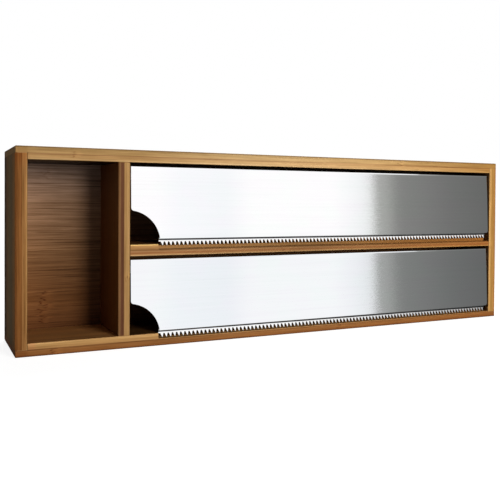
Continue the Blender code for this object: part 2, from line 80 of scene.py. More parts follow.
# tone of the surroundings that gloss shows, by the angle to the right of straight ahead
REFLECTED_TONES = (
    (15.0, (1.0, 1.0, 1.0)),
    (17.5, (1.0, 1.0, 1.0)),
    (19.5, (0.955, 0.96, 0.985)),
    (23.5, (0.93, 0.94, 0.965)),
    (25.5, (1.0, 1.0, 1.0)),
    (32.3, (1.0, 1.0, 1.0)),
    (33.7, (0.945, 0.95, 0.96)),
    (34.8, (0.88, 0.89, 0.90)),
    (35.3, (0.815, 0.825, 0.825)),
    (35.64, (0.74, 0.745, 0.74)),
    (35.8, (0.395, 0.40, 0.385)),
    (36.5, (0.38, 0.385, 0.37)),
    (37.2, (0.30, 0.305, 0.29)),
    (37.35, (0.252, 0.255, 0.245)),
    (38.05, (0.219, 0.222, 0.214)),
    (39.3, (0.202, 0.205, 0.198)),
    (41.8, (0.164, 0.166, 0.162)),
    (44.2, (0.141, 0.142, 0.139)),
    (48.0, (0.12, 0.12, 0.118)),
)
FAR_LEFT_SPAN = (-125.0, -95.0)
FAR_LEFT_TONE = (0.08, 0.08, 0.08, 1.0)
# below eye level the tones are tinted and turned by a small part of a degree
LOW_SPAN = (-0.03, 0.03)
LOW_TINT = (0.915, 0.935, 0.95, 1.0)
LOW_SHIFT = 0.08
# white from above and dark from below, by the height of the direction
CEILING_SPAN = (0.40, 0.62)
UNDER_SPAN = (-0.42, -0.26)
UNDER_TONE = (0.03, 0.03, 0.032, 1.0)
TONE_START = REFLECTED_TONES[0][0]
TONE_SPAN = REFLECTED_TONES[-1][0] - TONE_START
WHITE = (1.0, 1.0, 1.0, 1.0)


def linear(colour):
    """The linear value of an sRGB colour given as 0 to 255."""
    part = np.array(colour, dtype=float) / 255.0
    low = part / 12.92
    high = ((part + 0.055) / 1.055) ** 2.4
    return tuple(np.where(part <= 0.04045, low, high))


def opaque(colour):
    """The linear value of an sRGB colour, with its alpha, as a colour socket takes it."""
    return linear(colour) + (1.0,)


# ---------------------------------------------------------------------------
# Shader maths
# ---------------------------------------------------------------------------

AXES = {"x": 0, "y": 1, "z": 2}
FRONT_FACES = (0.6, 0.8)


class Wire:
    """An output of a node tree; sums and products of wires add their Math nodes."""

    def __init__(self, tree, socket):
        self.tree = tree
        self.socket = socket

    def math(self, operation, *values):
        return self.tree.math(operation, self, *values)

    def __add__(self, other):
        return self.math("ADD", other)

    def __sub__(self, other):
        return self.math("SUBTRACT", other)

    def __mul__(self, other):
        return self.math("MULTIPLY", other)

    def __truediv__(self, other):
        return self.math("DIVIDE", other)

    def __pow__(self, other):
        return self.math("POWER", other)

    def __rsub__(self, other):
        return self.tree.math("SUBTRACT", other, self)

    def __rtruediv__(self, other):
        return self.tree.math("DIVIDE", other, self)

    def __rpow__(self, other):
        return self.tree.math("POWER", other, self)

    def __neg__(self):
        return self.math("MULTIPLY", -1.0)

    def __abs__(self):
        return self.math("ABSOLUTE")

    __radd__ = __add__
    __rmul__ = __mul__

    def least(self, other):
        return self.math("MINIMUM", other)

    def most(self, other):
        return self.math("MAXIMUM", other)

    def floor(self):
        return self.math("FLOOR")

    def rise(self, start, end, low=0.0, high=1.0):
        """A smooth step from low at start to high at end."""
        values = {"Value": self, "From Min": start, "From Max": end, "To Min": low, "To Max": high}
        return self.tree.node("ShaderNodeMapRange", {"interpolation_type": "SMOOTHSTEP"}, values)

    def fall(self, start, end):
        """A smooth step from one at start to nothing at end."""
        return self.rise(start, end, 1.0, 0.0)

    def within(self, low, high, reach):
        """One between low and high, with ends that are soft over a reach on both sides."""
        return self.rise(low - reach, low + reach) * self.fall(high - reach, high + reach)

    def hump(self, middle, width):
        """One at middle, falling off smoothly to nothing a width away on both sides."""
        return 1.0 - abs(self - middle).rise(0.0, width)


class Tree:
    """A node tree that is being wired."""

    def __init__(self, node_tree):
        self.node_tree = node_tree
        self.node_tree.nodes.clear()

    def node(self, kind, settings=None, values=None, output=0):
        """Adds a node, makes its settings, then fills its sockets with numbers, colours or wires."""
        made = self.node_tree.nodes.new(kind)
        for key, value in (settings or {}).items():
            if key == "stops":
                set_stops(made.color_ramp, value)
            else:
                setattr(made, key, value)
        for key, value in (values or {}).items():
            if isinstance(value, Wire):
                self.node_tree.links.new(value.socket, made.inputs[key])
            else:
                made.inputs[key].default_value = value
        return Wire(self, made.outputs[output]) if made.outputs else None

    def math(self, operation, *values):
        return self.node("ShaderNodeMath", {"operation": operation}, dict(enumerate(values)))

    def vector(self, x, y, z):
        return self.node("ShaderNodeCombineXYZ", None, {0: x, 1: y, 2: z})

    def part(self, vector, axis):
        """One axis of a vector."""
        return self.node("ShaderNodeSeparateXYZ", None, {0: vector}, axis)

    def noise(self, place, size, detail=2.0, roughness=0.5):
        """Noise from 0 to 1 at three wires, drawn out to a size along each of them."""
        scaled = self.vector(*[wire / length for wire, length in zip(place, size)])
        values = {"Vector": scaled, "Scale": 1.0, "Detail": detail, "Roughness": roughness}
        return self.node("ShaderNodeTexNoise", None, values)

    def chance(self, x, y, z):
        """A random number from 0 to 1 for each whole-numbered place."""
        return self.node("ShaderNodeTexWhiteNoise", None, {"Vector": self.vector(x, y, z)}, "Value")

    def ramp(self, value, stops):
        return self.node("ShaderNodeValToRGB", {"stops": stops}, {"Fac": value})

    def mix(self, share, first, second, blend="MIX"):
        """Colours: the share of the second laid over the first."""
        settings = {"data_type": "RGBA", "blend_type": blend}
        return self.node("ShaderNodeMix", settings, {0: share, 6: first, 7: second}, 2)

    def glaze(self, share, colour, multiplier):
        """Colours: the first, multiplied by the second as far as the share says."""
        return self.mix(share, colour, multiplier, "MULTIPLY")

    def tint(self, colour, value):
        """A colour made darker or lighter by a number."""
        return self.glaze(1.0, colour, self.vector(value, value, value))

    def wood_tint(self, colour, value):
        """A wood colour made darker and redder, or lighter and paler, by a number."""
        value = value.most(DARKEST_WOOD)
        return self.glaze(1.0, colour, self.vector(value ** RED_POWER, value, value ** BLUE_POWER))

    def relief(self, height, strength, distance):
        """The normal of a surface with a height pressed into it."""
        values = {"Strength": strength, "Distance": distance, "Height": height}
        return self.node("ShaderNodeBump", None, values)

    def frontness(self):
        """One on the faces that look to the front, and nothing on the others."""
        front = self.node("ShaderNodeTexCoord", None, None, "Normal")
        return (-self.part(front, AXES["y"])).rise(*FRONT_FACES)


def set_stops(ramp, stops):
    """Fills a colour ramp with (place, colour) pairs."""
    while len(ramp.elements) < len(stops):
        ramp.elements.new(0.5)
    for element, (place, colour) in zip(ramp.elements, stops):
        element.position = place
        element.color = tuple(colour) + (1.0,)


def finish_of(name):
    """A new empty material and its tree."""
    material = bpy.data.materials.new(name)
    material.use_nodes = True
    return material, Tree(material.node_tree)


def coat(tree, **values):
    """Ends a material with its shader; a value's name is its socket's, with _ for a space."""
    sockets = {key.replace("_", " "): value for key, value in values.items()}
    shader = tree.node("ShaderNodeBsdfPrincipled", None, sockets)
    tree.node("ShaderNodeOutputMaterial", None, {"Surface": shader})


def millimetres(tree):
    """The place on the piece as three wires, in millimetres."""
    place = tree.node("ShaderNodeTexCoord", None, None, "Object")
    return [tree.part(place, axis) * MM for axis in range(3)]


# ---------------------------------------------------------------------------
# Bamboo
# ---------------------------------------------------------------------------

CUT_FACES = (0.6, 0.9)

# sizes of the wood's patterns along the grain, across it and through the plies, in millimetres
FIBRE_SIZE = (38.0, 0.38, 0.38)
FIBRE_CONTRAST = 0.6
FINE_SIZE = (24.0, 0.8, 0.8)
FINE_CONTRAST = 1.9
STREAK_SIZE = (90.0, 1.5, 1.5)
STREAK_CONTRAST = 2.2
LINE_SIZE = (34.0, 1.1, 1.1)
DARK_LINES = (0.54, 0.66)
PALE_LINES = (0.34, 0.46)
CLOUD_SIZE = (60.0, 16.0, 9.0)
CLOUD_CONTRAST = 0.34
SWAY_SIZE = (9.0, 5.0, 5.0)
SWAY = 0.25
KNOT_SWAY = 1.6
PORE_SIZE = (9.0, 0.45, 0.45)
PORE_SPAN = (0.5, 0.62)
END_SHADE = 0.80
PORE_SHADE = 0.3
DARKEST_WOOD = 0.05
RED_POWER = 0.88
BLUE_POWER = 1.18
WOOD_RELIEF = 0.00015
WOOD_ROUGH = 0.50
FIBRE_ROUGH = 0.16
SLAT_ROUGH = 0.05

# the strips that a board is glued up from
SLAT_START = 0.37
PLIES = 1.999
GLUE_LINE = 0.14
GLUE_SHADE = 0.3

# the marks of culm nodes
MARK_STRIP = 4.4
MARK_BOW = 9.0
MARK_JITTER = 3.2
MARK_WIDTH = 1.0
MARK_RUN = 30.0
MARK_GRAIN = 1.3
MARK_RAGGED = 15.0
MARK_REACH = 9.0
MARK_SOFT = (0.8, 0.2)
STROKE_SIZE = (4.0, 0.7, 0.7)
STROKE_SPAN = (0.38, 0.56)
DARK_SHARE = 0.75
DARK_MARK = (0.40, 0.22, 0.15, 1.0)
PALE_SHARE = 0.5
PALE_MARK = (1.28, 1.24, 1.22, 1.0)


def knot_marks(tree, place, knots):
    """The marks of culm nodes: dark strokes along a ragged line across the grain, beside a paler patch.

    The place is three wires, along the grain, across it and through the plies.  A knot is (place along
    the grain, low and high end across, low and high end through, strength).  The wires given back are
    the dark strokes, the pale patch and how near a knot is.
    """
    along, across, through = place
    strip = across / MARK_STRIP
    number = strip.floor()
    middle = strip - number - 0.5
    jitter = (tree.chance(number, 3.0, 7.0) - 0.5) * MARK_JITTER
    ragged = (tree.noise(place, (MARK_RUN, MARK_GRAIN, MARK_GRAIN)) - 0.5) * MARK_RAGGED
    bowed = along + middle * middle * MARK_BOW + jitter + ragged
    strokes = tree.noise(place, STROKE_SIZE, 1.0).rise(*STROKE_SPAN)
    soft, ply_soft = MARK_SOFT
    dark = light = near = 0.0
    for at, low, high, under, over, strength in knots:
        inside = across.within(low, high, soft) * through.within(under, over, ply_soft) * strength
        dark = inside * bowed.hump(at, 1.5 * MARK_WIDTH) * strokes + dark
        light = inside * bowed.hump(at + 3.0 * MARK_WIDTH, 4.0 * MARK_WIDTH) + light
        near = inside * along.hump(at, MARK_REACH) + near
    return dark, light, near


def fibre_patterns(tree, place, seed, line_size):
    """Fibres, finer fibres, streaks and short lines: noises drawn out along the grain."""
    along, side, deep = place
    fibres = tree.noise((along, side, deep), FIBRE_SIZE, 2.0, 0.6)
    fine = tree.noise((along + 3 * seed, side, deep), FINE_SIZE, 2.0, 0.6)
    streaks = tree.noise((along + seed, side, deep), STREAK_SIZE, 2.0, 0.55)
    dashes = tree.noise((along - seed, side, deep), line_size, 3.0, 0.55)
    return fibres, fine, streaks, dashes


def drifted(tree, place, colour, drifts):
    """A colour multiplied by colours that change slowly along an axis, at places in millimetres."""
    for axis, drift in drifts:
        first = drift[0][0]
        span = drift[-1][0] - first
        stops = [((at - first) / span, linear(tone)) for at, tone in drift]
        slow = tree.ramp((place[AXES[axis]] - first) / span, stops)
        colour = tree.glaze(1.0, colour, slow)
    return colour


def add_stains_and_painted_light(tree, place, colour, stains_and_painted_light):
    """Lays stains and painted light and shade over a colour.

    Each is its low and high corner in millimetres, the linear colour that multiplies what is there
    and how soft its ends are along X, Y and Z.  Some are the wood's own stains; others are painted shade
    in the bays and behind the teeth, and one is a painted highlight on an edge.
    """
    for low, high, multiplier, soft in stains_and_painted_light:
        inside = 1.0
        for axis, reach in enumerate(soft):
            inside = place[axis].within(low[axis], high[axis], reach) * inside
        colour = tree.glaze(inside, colour, multiplier + (1.0,))
    return colour


def end_grain(tree, grain, place, colour):
    """Darkens the faces that cut across the grain and dots them with pores."""
    normal = tree.node("ShaderNodeNewGeometry", None, None, "Normal")
    cut = abs(tree.part(normal, AXES[grain])).rise(*CUT_FACES)
    pores = tree.noise(place, PORE_SIZE, 2.0, 0.6).rise(*PORE_SPAN)
    return tree.mix(cut, colour, tree.tint(colour, END_SHADE - pores * PORE_SHADE))


def bamboo(node, grain, ply, bands, drifts=(), slat=20.0, slat_tone=0.10, streak=0.34, lines=0.12,
           line_size=LINE_SIZE, knots=(), stains_and_painted_light=(), faces=True, gloss=0.12):
    """Laminated bamboo on one board.

    The ply axis runs through the board's thickness: bands are the colours from one face to the other.
    The grain axis is the fibres' own.  Slats are the strips that a board is glued up from, side by
    side, and faces says whether their seams show.  Drifts, knots and stains are as their functions say;
    some drifts and stains are painted light and shade rather than the wood's own colour.
    """
    material, tree = finish_of(node + "_bamboo")
    low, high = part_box(node)
    place = millimetres(tree)
    along = place[AXES[grain]]
    through = place[AXES[ply]]
    across = place[({0, 1, 2} - {AXES[grain], AXES[ply]}).pop()]
    by_grain = (along, across, through)
    start = low[AXES[ply]] * MM
    thickness = (high[AXES[ply]] - low[AXES[ply]]) * MM
    depth = (through - start) / thickness
    seed = sum(ord(letter) for letter in node)

    dark = light = near = 0.0
    if knots:
        dark, light, near = knot_marks(tree, by_grain, knots)
    sway = (tree.noise(by_grain, SWAY_SIZE, 1.0) - 0.5) * (near * KNOT_SWAY + SWAY)
    swayed = (along, across + sway, through + sway)
    fibres, fine, streaks, dashes = fibre_patterns(tree, swayed, seed, line_size)
    cloud = tree.noise((along + 2 * seed, across, through), CLOUD_SIZE)
    slat_place = across / slat + SLAT_START
    slat_number = slat_place.floor()
    slat_shade = tree.chance(slat_number, (depth * PLIES).floor(), seed)

    shade = 1.0 + (fibres - 0.5) * FIBRE_CONTRAST + (streaks - 0.5) * (streak * STREAK_CONTRAST)
    shade = shade + (cloud - 0.5) * CLOUD_CONTRAST + (fine - 0.5) * (streak * FINE_CONTRAST)
    shade = shade + (slat_shade - 0.5) * (slat_tone * 2.0)
    shade = shade * (1.0 - dashes.rise(*DARK_LINES) * lines)
    shade = shade * (1.0 + dashes.fall(*PALE_LINES) * lines * 0.5)
    if faces:
        seam = ((slat_place - slat_number) * slat).fall(0.0, GLUE_LINE)
        shade = shade * (1.0 - seam * GLUE_SHADE)

    colour = tree.ramp(depth, [(at, linear(tone)) for at, tone in bands])
    colour = tree.wood_tint(drifted(tree, place, colour, drifts), shade)
    if knots:
        colour = tree.glaze(dark * DARK_SHARE, colour, DARK_MARK)
        colour = tree.glaze(light * PALE_SHARE, colour, PALE_MARK)
    colour = add_stains_and_painted_light(tree, place, colour, stains_and_painted_light)
    colour = end_grain(tree, grain, by_grain, colour)

    relief = tree.relief(fibres + dashes * 0.6, 0.3, WOOD_RELIEF)
    rough = WOOD_ROUGH + (fibres - 0.5) * FIBRE_ROUGH + (slat_shade - 0.5) * SLAT_ROUGH
    coat(tree, Base_Color=colour, Roughness=rough, Normal=relief, Specular_IOR_Level=gloss)
    return material


# ---------------------------------------------------------------------------
# Steel, chrome and nylon
# ---------------------------------------------------------------------------

STEEL_TONE = 254
BRACKET_TONE = 224

# sizes of the brushed sheet's patterns along X, Y and Z, in millimetres
BRUSH_LINES = (45.0, 3.0, 0.16)
BRUSH_BANDS = (130.0, 9.0, 1.6)
BRUSH_DRAG = (6.0, 9.0, 1.0)
SHEET_CLOUD = (60.0, 20.0, 22.0)
SHEET_HUE = (26.0, 20.0, 15.0)
HUE_SPAN = (0.35, 0.65)
LINE_CONTRAST = 0.10
BAND_CONTRAST = 0.07
SHEET_CONTRAST = 0.03
DRAG_HEIGHT = 3.5
SHEET_ROUGH = 0.026
SHEET_ROUGH_LINES = 0.016
STEEL_RELIEF = 0.00002
FINE_RELIEF = 0.00003

# the same for the ground strip, the turned screws and the moulded washers
GROUND_LINES = (12.0, 1.0, 0.2)
GROUND_CLOUD = (9.0, 9.0, 2.0)
TURNED_RINGS = (0.12, 4.0, 4.0)
TURNED_SPOTS = (1.5, 1.5, 1.5)
NYLON_GRIT = (0.2, 0.2, 0.2)
NYLON_CLOUD = (2.0, 2.0, 2.0)

# the sheet's edges and the painted shadow in the crease between sheet and teeth, in millimetres
ROLLED_EDGE = 0.36
TIGHT_EDGE = 0.08
CROWN_EDGE = 0.90
CROWN_LEAN = 0.03
CREASE_NEAR = 0.76
CREASE_FAR = 1.65
CREASE_TOP = 0.15
CREASE_DRIFT = 0.50
CREASE_RAGGED = 0.25
CREASE_SOFT = 0.15
CREASE_SHADE = 0.93


def rolled_normal(tree, x, z, span, normal):
    """The normal of a sheet whose lower front edge is rolled under, tighter to the right.

    Along its upper edge the sheet leans a little to the left.  The span is the sheet's low and high
    end in X, then in Z.
    """
    near_x, far_x, low_z, high_z = span
    radius = (1.0 - (x - near_x) / (far_x - near_x)).most(0.0) * ROLLED_EDGE + TIGHT_EDGE
    below = 1.0 - ((z - low_z) / radius).least(1.0).most(0.0)
    above = z.rise(high_z - CROWN_EDGE, high_z - CROWN_EDGE * 0.8)
    bent = tree.vector(above * -CROWN_LEAN, -((1.0 - below * below) ** 0.5), -below)
    spaces = {"vector_type": "NORMAL", "convert_from": "OBJECT"}
    bent = tree.node("ShaderNodeVectorTransform", spaces, {0: bent})
    rolled = tree.frontness() * below.rise(0.0, 0.02).most(above)
    settings = {"data_type": "VECTOR", "factor_mode": "UNIFORM"}
    return tree.node("ShaderNodeMix", settings, {0: rolled, 4: normal, 5: bent}, 1)


def brushed_steel(name, tone, span=None):
    """Steel brushed along X: fine lines that differ from line to line and fade along the brushing.

    A span, as rolled_normal takes it, gives a sheet its rolled edges.
    """
    material, tree = finish_of(name)
    place = millimetres(tree)
    lines = tree.noise(place, BRUSH_LINES, 3.0, 0.7)
    bands = tree.noise(place, BRUSH_BANDS)
    cloud = tree.noise(place, SHEET_CLOUD)
    shade = 1.0 + (lines - 0.5) * LINE_CONTRAST + (bands - 0.5) * BAND_CONTRAST
    shade = shade + (cloud - 0.5) * SHEET_CONTRAST
    hue = tree.noise(place, SHEET_HUE).rise(*HUE_SPAN)
    base = tree.mix(hue, opaque((tone - 1, tone + 1, tone)), opaque((tone + 1, tone - 1, tone + 1)))
    drag = tree.noise(place, BRUSH_DRAG, 2.0, 0.6)
    normal = tree.relief(lines + drag * DRAG_HEIGHT, 0.10, STEEL_RELIEF)
    if span is not None:
        normal = rolled_normal(tree, place[0], place[2], span, normal)
    rough = SHEET_ROUGH + (lines - 0.5) * SHEET_ROUGH_LINES
    coat(tree, Base_Color=tree.tint(base, shade), Metallic=1.0, Roughness=rough, Normal=normal)
    return material


def blade_steel(name, span):
    """Ground steel of a toothed strip, with painted shadow in the crease along the sheet's lower edge."""
    material, tree = finish_of(name)
    place = millimetres(tree)
    x, z = place[0], place[2]
    lines = tree.noise(place, GROUND_LINES, 3.0, 0.7)
    cloud = tree.noise(place, GROUND_CLOUD)
    near_x, far_x, sheet_low = span[:3]
    share = (x - near_x) / (far_x - near_x)
    low = sheet_low - CREASE_NEAR - share * (CREASE_FAR - CREASE_NEAR) + (cloud - 0.5) * CREASE_RAGGED
    high = sheet_low + CREASE_TOP - share * CREASE_DRIFT
    # painted shadow: the strip is darkened in a band just below the sheet's lower edge
    crease_shadow = (z - low).rise(-CREASE_SOFT, CREASE_SOFT) * (z - high).fall(-CREASE_SOFT, CREASE_SOFT)
    crease_shadow = crease_shadow * tree.frontness()
    shade = (1.0 + (lines - 0.5) * 0.06 + (cloud - 0.5) * 0.04) * (1.0 - crease_shadow * CREASE_SHADE)
    colour = tree.tint(opaque((253, 253, 253)), shade)
    relief = tree.relief(lines, 0.10, FINE_RELIEF)
    rough = 0.06 + (lines - 0.5) * 0.04 + crease_shadow * 0.25
    coat(tree, Base_Color=colour, Metallic=1.0, Roughness=rough, Normal=relief)
    return material


def turned_chrome(name):
    """Nickel-plated screw steel with faint turning rings."""
    material, tree = finish_of(name)
    place = millimetres(tree)
    rings = tree.noise(place, TURNED_RINGS, 2.0, 0.6)
    spots = tree.noise(place, TURNED_SPOTS, 3.0, 0.6)
    colour = tree.tint(opaque((205, 206, 208)), 0.92 + spots * 0.12)
    relief = tree.relief(rings, 0.2, FINE_RELIEF)
    coat(tree, Base_Color=colour, Metallic=1.0, Roughness=0.2 + spots * 0.14, Normal=relief)
    return material


def moulded_nylon(name):
    """Milky nylon with a fine moulded texture."""
    material, tree = finish_of(name)
    place = millimetres(tree)
    grit = tree.noise(place, NYLON_GRIT, 3.0, 0.6)
    cloud = tree.noise(place, NYLON_CLOUD)
    colour = tree.mix(cloud, opaque((216, 212, 200)), opaque((226, 223, 214)))
    relief = tree.relief(grit, 0.15, FINE_RELIEF)
    coat(tree, Base_Color=colour, Roughness=0.42 + grit * 0.14, Normal=relief)
    return material


# ---------------------------------------------------------------------------
# Dress the pieces
# ---------------------------------------------------------------------------

BOARDS = {
    "top_board": dict(
        grain="x", ply="z",
        bands=[(0.0, (100, 70, 42)), (0.03, (190, 152, 102)), (0.07, (224, 190, 140)),
               (0.14, (204, 165, 114)), (0.40, (200, 160, 110)), (0.47, (182, 140, 98)),
               (0.53, (198, 162, 111)), (0.86, (191, 157, 107)), (0.95, (138, 110, 72)),
               (1.0, (175, 138, 92))],
        # partly painted shade: grey darkening towards the left end, where less light falls; the yellower
        # right end is the wood's tone
        drifts=[("x", [(-196.0, (214, 206, 192)), (-120.0, (223, 215, 201)), (-40.0, (255, 255, 255)),
                       (60.0, (252, 247, 238)), (196.0, (213, 192, 148))])],
        knots=[(-161.0, -40.0, 40.0, 124.5, 129.0, 0.7), (96.0, -40.0, 40.0, 125.0, 200.0, 0.6)],
        stains_and_painted_light=[((-197.0, -32.0, 122.0), (-189.0, 32.0, 132.0), (0.86, 0.80, 0.74), (2.0, 0.2, 0.2)),
                # painted shade: the underside of the top board darkened inside the cabinet
                ((-189.0, -30.3, 122.0), (190.0, 32.0, 122.9), (0.20, 0.18, 0.16), (0.3, 0.2, 0.2)),
                ((95.0, -32.0, 126.2), (182.0, -30.0, 126.9), (0.66, 0.58, 0.50), (40.0, 0.2, 0.35))],
    ),
    "bottom_board": dict(
        grain="x", ply="z", slat=9.0, slat_tone=0.20, streak=0.40,
        bands=[(0.0, (110, 70, 36)), (0.05, (106, 64, 31)), (0.14, (140, 88, 45)),
               (0.42, (152, 102, 56)), (0.5, (122, 78, 44)), (0.56, (178, 132, 80)),
               (0.88, (184, 140, 86)), (0.95, (196, 154, 98)), (1.0, (172, 120, 70))],
        drifts=[("x", [(-196.0, (240, 240, 238)), (0.0, (255, 255, 255)), (196.0, (250, 240, 225))])],
        knots=[(-173.0, -40.0, 40.0, 0.0, 4.2, 1.0), (40.0, -40.0, 40.0, 0.0, 9.0, 0.6)],
        stains_and_painted_light=[((-197.0, -32.0, -1.0), (-189.0, 32.0, 9.0), (0.86, 0.76, 0.70), (2.0, 0.2, 0.2)),
                ((-188.6, -32.0, 4.2), (-184.6, -30.0, 9.0), (1.05, 0.93, 0.98), (1.4, 0.2, 0.2)),
                # painted shade: the floor of the lower bay darkened behind the front edge
                ((-123.9, -30.2, 7.9), (190.0, 20.0, 9.0), (0.20, 0.20, 0.18), (0.2, 0.2, 0.2)),
                # painted shadow of the lower flap's teeth on the rebate wall behind them
                ((-104.9, -25.6, 5.0), (190.0, -20.0, 9.0), (0.04, 0.035, 0.03), (0.2, 0.2, 0.2))],
    ),
    "roll_shelf": dict(
        grain="x", ply="z",
        bands=[(0.0, (120, 84, 50)), (0.05, (206, 164, 112)), (0.14, (170, 122, 75)),
               (0.28, (158, 103, 62)), (0.38, (172, 128, 83)), (0.44, (158, 112, 70)),
               (0.50, (114, 76, 43)), (0.57, (170, 124, 75)), (0.9, (176, 129, 77)),
               (0.96, (190, 150, 92)), (1.0, (112, 76, 44))],
        drifts=[("x", [(-124.0, (250, 250, 250)), (20.0, (216, 216, 214)), (120.0, (230, 216, 190)),
                       (189.0, (236, 212, 170))])],
        knots=[(-8.0, -40.0, 40.0, 0.0, 200.0, 0.6)],
        # painted highlight: the shelf's front arris lightened where it shows in the notch
        stains_and_painted_light=[((-125.0, -32.0, 67.6), (-105.1, -30.2, 69.0), (1.6, 1.8, 1.7), (0.3, 0.2, 0.2)),
                # painted shadow of the upper flap's teeth on the rebate wall behind them
                ((-104.9, -25.6, 67.2), (190.0, -20.0, 69.0), (0.04, 0.035, 0.03), (0.2, 0.2, 0.2))],
    ),
    "left_side": dict(
        grain="z", ply="x", slat=13.0, slat_tone=0.24, streak=0.42, gloss=0.05,
        bands=[(0.0, (134, 98, 58)), (0.07, (104, 66, 34)), (0.20, (134, 86, 44)),
               (0.45, (132, 84, 43)), (0.53, (126, 80, 41)), (0.59, (158, 112, 65)),
               (0.86, (164, 117, 68)), (0.94, (194, 150, 95)), (1.0, (130, 88, 48))],
        # painted sheen: a grey cast in the middle of the outer face
        stains_and_painted_light=[((-197.0, -14.0, -1.0), (-195.9, 6.0, 132.0), (0.78, 0.98, 1.20), (0.3, 4.0, 0.2)),
                ((-197.0, -36.0, -1.0), (-195.9, -25.0, 132.0), (1.20, 0.90, 0.62), (0.3, 3.0, 0.2)),
                ((-197.0, 18.0, -1.0), (-195.9, 44.0, 132.0), (0.14, 0.13, 0.11), (0.3, 9.0, 0.2)),
                ((-197.0, -32.0, 121.0), (-189.0, -30.0, 132.0), (1.0, 0.88, 0.80), (0.3, 0.3, 6.0))],
    ),
    "right_side": dict(
        grain="z", ply="x",
        bands=[(0.0, (110, 76, 42)), (0.06, (194, 149, 89)), (0.22, (198, 154, 92)),
               (0.30, (180, 134, 71)), (0.46, (176, 130, 66)), (0.52, (148, 102, 52)),
               (0.60, (172, 127, 65)), (0.78, (168, 121, 61)), (0.90, (172, 112, 58)),
               (0.96, (150, 92, 46)), (1.0, (150, 100, 58))],
        knots=[(60.0, -40.0, 40.0, 150.0, 193.0, 0.6)],
    ),
    "divider": dict(
        grain="z", ply="x",
        bands=[(0.0, (99, 58, 22)), (0.06, (120, 86, 54)), (0.18, (128, 92, 58)),
               (0.25, (100, 63, 42)), (0.48, (104, 66, 44)), (0.54, (164, 124, 76)),
               (0.9, (168, 130, 80)), (0.97, (146, 108, 66)), (1.0, (98, 64, 36))],
        knots=[(46.8, -40.0, 40.0, -128.5, -120.0, 0.8)],
    ),
    "back_panel": dict(
        grain="x", ply="y", slat=17.0, streak=0.55, lines=0.42, line_size=(60.0, 0.8, 0.8), faces=False,
        bands=[(0.0, (255, 255, 255)), (1.0, (255, 255, 255))],
        # darker and browner towards the bottom, and greyer towards the top with painted sheen
        drifts=[("z", [(8.0, (98, 59, 32)), (30.0, (121, 77, 42)), (62.0, (132, 93, 60)),
                       (95.0, (144, 109, 81)), (123.0, (138, 114, 99))]),
                # painted shade: darker towards the divider, spreading its shadow across the panel
                ("x", [(-183.0, (255, 255, 255)), (-176.0, (240, 240, 240)), (-169.0, (226, 226, 226)),
                       (-162.0, (211, 211, 211)), (-157.0, (208, 208, 208)), (-150.0, (220, 220, 220))])],
        knots=[(-172.0, 12.0, 34.0, 0.0, 60.0, 1.3), (-170.0, 112.0, 120.0, 0.0, 60.0, 0.5),
               (70.0, 0.0, 140.0, 0.0, 60.0, 0.7)],
    ),
}


def dress(name, material):
    """Gives a CAD node its finish."""
    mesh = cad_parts[name].data
    mesh.materials.clear()
    mesh.materials.append(material)


def sheet_span(name):
    """The low and high end of a flap's sheet in X, then in Z, in millimetres."""
    low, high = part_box(name)
    return low[0] * MM, high[0] * MM, low[2] * MM, high[2] * MM


def dress_all():
    """Gives every CAD node the finish of its kind."""
    for name, look in BOARDS.items():
        dress(name, bamboo(name, **look))
    bracket_steel = brushed_steel("bracket_sheet_steel", BRACKET_TONE)
    screw_chrome = turned_chrome("screw_nickel")
    washer_nylon = moulded_nylon("washer_nylon")
    for name in sorted(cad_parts):
        if name.endswith("_flap"):
            dress(name, brushed_steel(name + "_steel", STEEL_TONE, sheet_span(name)))
        elif name.endswith("_blade"):
            dress(name, blade_steel(name + "_steel", sheet_span(name.replace("_blade", "_flap"))))
        elif name.endswith("_hinge_bracket"):
            dress(name, bracket_steel)
        elif name.endswith("_hinge_screw"):
            dress(name, screw_chrome)
        elif name.endswith("_washer"):
            dress(name, washer_nylon)


# ---------------------------------------------------------------------------
# Glue in the joints
# ---------------------------------------------------------------------------

# all in millimetres but the dust's relief, which is in metres as every relief is
JOINT_GAP = 0.25
GLUE_SLACK = 0.01
GLUE_RECESS = 0.05
GLUE_INSET = 0.3
GLUE_REACH = 3.0
DUST_SIZE = (0.8, 0.8, 0.8)
DUST_RELIEF = 0.00005
OUTSIDE_END = (-196.0, -195.0)


def dried_glue(name):
    """Dried wood glue rubbed full of bamboo dust."""
    material, tree = finish_of(name)
    place = millimetres(tree)
    dust = tree.noise(place, DUST_SIZE, 3.0, 0.6)
    outside = place[0].fall(*OUTSIDE_END)
    colour = tree.mix(outside, opaque((164, 122, 76)), opaque((112, 80, 48)))
    colour = tree.wood_tint(colour, 0.85 + dust * 0.3)
    relief = tree.relief(dust, 0.2, DUST_RELIEF)
    coat(tree, Base_Color=colour, Roughness=0.5 + dust * 0.1, Normal=relief, Specular_IOR_Level=0.12)
    return material


